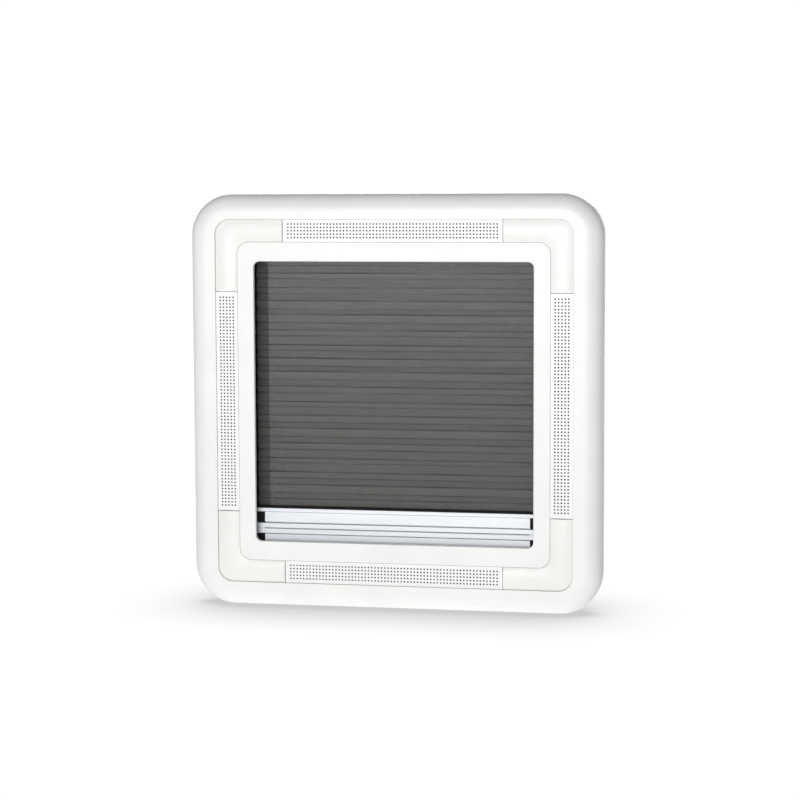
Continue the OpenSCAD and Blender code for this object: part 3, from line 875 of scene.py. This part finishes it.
def flyscreen(mat):
    """The closed screen: shallow pleats pulled nearly flat, with folds that wander a little."""
    depth, wander = 4.4, 0.16
    height = FABRIC_HEAD - SCREEN_FOOT
    places = [SCREEN_FOOT + height * (i + wander * math.sin(2.4 * i) * (0 < i < HALF_PLEATS)) / HALF_PLEATS
              for i in range(HALF_PLEATS + 1)]

    def wave(x, z, row):
        free = min(1.0, (z - SCREEN_FOOT) / 12, (FABRIC_HEAD - z) / 12)
        shift = noise.noise(Vector((x / 70, row // 4 * 0.9, 0.3)))
        return 0.45 * shift * free, 0.2 * noise.noise(Vector((x / 60, z / 20, 5.1))) * free

    obj, length = pleated("flyscreen_mesh", places, depth, mat, wave, ROOT)
    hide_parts("flyscreen")
    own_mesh(obj)


def eased(share):
    """The t in 0..1 at which an easing of 3t^2 - 2t^3, with a small linear part, reaches share."""
    stack = PACKED_HIGH + FABRIC_HEAD
    packed_share = stack / (stack + TRAVEL)
    low, high = 0.0, 1.0
    for _ in range(40):
        t = (low + high) / 2
        reached = packed_share * t + (1 - packed_share) * t * t * (3 - 2 * t)
        low, high = (t, high) if reached < share else (low, t)
    return t


def blackout(mat):
    """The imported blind. Its folds are spaced so that they lie evenly once the blind is drawn."""
    depth = 9.4
    foot = -FABRIC_HEAD
    stack = PACKED_HIGH - foot
    places = [foot + stack * eased(i / HALF_PLEATS) for i in range(HALF_PLEATS + 1)]

    def wave(x, z, row):
        return 0.0, 0.25 * noise.noise(Vector((x / 60, row * 0.7, 2.2)))

    obj, length = pleated("blackout_pleats", places, depth, mat, wave)
    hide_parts("blackout_blind")
    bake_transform(obj)


# ---- Screws ----

def screw(bm, centre, seat, length):
    """A pan-head screw driven towards the room: a domed head and a ridged shank with a point."""
    top = seat - HEAD_H
    sections = [(0.01, top), (1.2, top), (2.1, top + 0.25), (2.65, top + 0.9), (HEAD_R, top + 1.7),
                (HEAD_R, seat), (THREAD_R, seat)]
    for i in range(int(length / THREAD_PITCH)):
        start = seat + THREAD_PITCH * i
        sections += [(THREAD_R, start + 0.5), (THREAD_ROOT_R, start + THREAD_PITCH)]
    sections.append((0.05, seat + length))
    lathe(bm, sections, centre, 24)


def recess(bm, centre, seat):
    """The cross recess in a screw's head, as a cutter: two tapered blades."""
    for a in (math.pi / 4, -math.pi / 4):
        along, across = Vector((math.cos(a), math.sin(a))), Vector((-math.sin(a), math.cos(a)))
        spot = Vector(centre)
        rings = []
        for h, reach, half in ((seat - 2.6, 1.5, 0.32), (seat - 1.0, 0.7, 0.22)):
            corners = [spot + along * reach * i + across * half * j
                       for i, j in ((1, 1), (-1, 1), (-1, -1), (1, -1))]
            rings.append([at(c.x, c.y, h) for c in corners])
        loft(bm, rings, caps=True)


def screws(name, node, places, seat, length, mat):
    """One piece that stands for a CAD node's group of screws, in all four quarters."""
    bm, cutter = bmesh.new(), bmesh.new()
    for sx, sz in QUARTERS:
        for x, z in places:
            screw(bm, (sx * x, sz * z), seat, length)
            recess(cutter, (sx * x, sz * z), seat)
    obj = piece(name, bm, mat, ROOT)
    cut(obj, cutter)
    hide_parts(node)


# ---- Put it together ----

bpy.context.scene.view_settings.view_transform = "Standard"
camera()
world()
floor()
area_light("key", (-0.1, -3.3, 0.15), 2.0, 85)
area_light("back", (-0.3, 3.0, 0.3), 1.6, 34)

white = moulded_white("moulded_white", (0.875, 0.873, 0.862), 0.0007)
trim_white = moulded_white("trim_white", (0.905, 0.905, 0.9), 0.0005)
cover_white = moulded_white("cover_white", (0.87, 0.866, 0.852), 0.0007)
black = moulded_black("moulded_black", (0.0045, 0.0045, 0.005), 0.6)
duct_black = moulded_black("duct_black", (0.02, 0.02, 0.021), 0.6)
alloy = anodised("anodised_aluminium", (0.72, 0.745, 0.78), "x")
zinc = steel("zinc_steel", (0.62, 0.62, 0.64))

surround(white)
grilles(trim_white)
corner_covers(cover_white)
bar("handle_bar_screen", "screen_bar", SCREEN_HIGH, -1, alloy, SCREEN)
bar("handle_bar_blind", "blind_bar", BLIND_LOW, 1, alloy, BLIND)
flyscreen(insect_mesh("insect_mesh"))
blackout(blackout_cloth("blackout_cloth"))
screws("chassis_screw_set", "chassis_screws", (SIDE_LUG, END_LUG), LUG_H, CHASSIS_SCREW, zinc)
screws("duct_screw_set", "duct_screws", (DUCT_BOSS,), DUCT_SEAT, DUCT_SCREW, zinc)

for node in ("top_cassette", "bottom_cassette", "left_rail", "right_rail"):
    carry(node, black)
for sx, sz in QUARTERS:
    carry("corner_bracket_" + corner_name(sx, sz), black)
carry("inner_duct", duct_black, 0.5)
for owner in ("screen", "blind"):
    for side in ("left", "right"):
        carry(f"{owner}_bar_cap_{side}", black, 0.4)
for node in ("screen_head_strip", "screen_bar_strip", "blind_foot_strip", "blind_bar_strip"):
    carry(node, black, 0.2)
carry("bar_magnets", moulded_black("ferrite", (0.03, 0.03, 0.032), 0.45))
carry("bar_keepers", zinc)
carry("cord_crimps", zinc, 0.15)
cord = braid("braided_cord", (0.75, 0.74, 0.70))
spring = steel("spring_steel", (0.55, 0.55, 0.56))
for side in ("left", "right"):
    carry("guide_cord_" + side, cord, 0)
    carry("cord_spring_" + side, spring, 0)
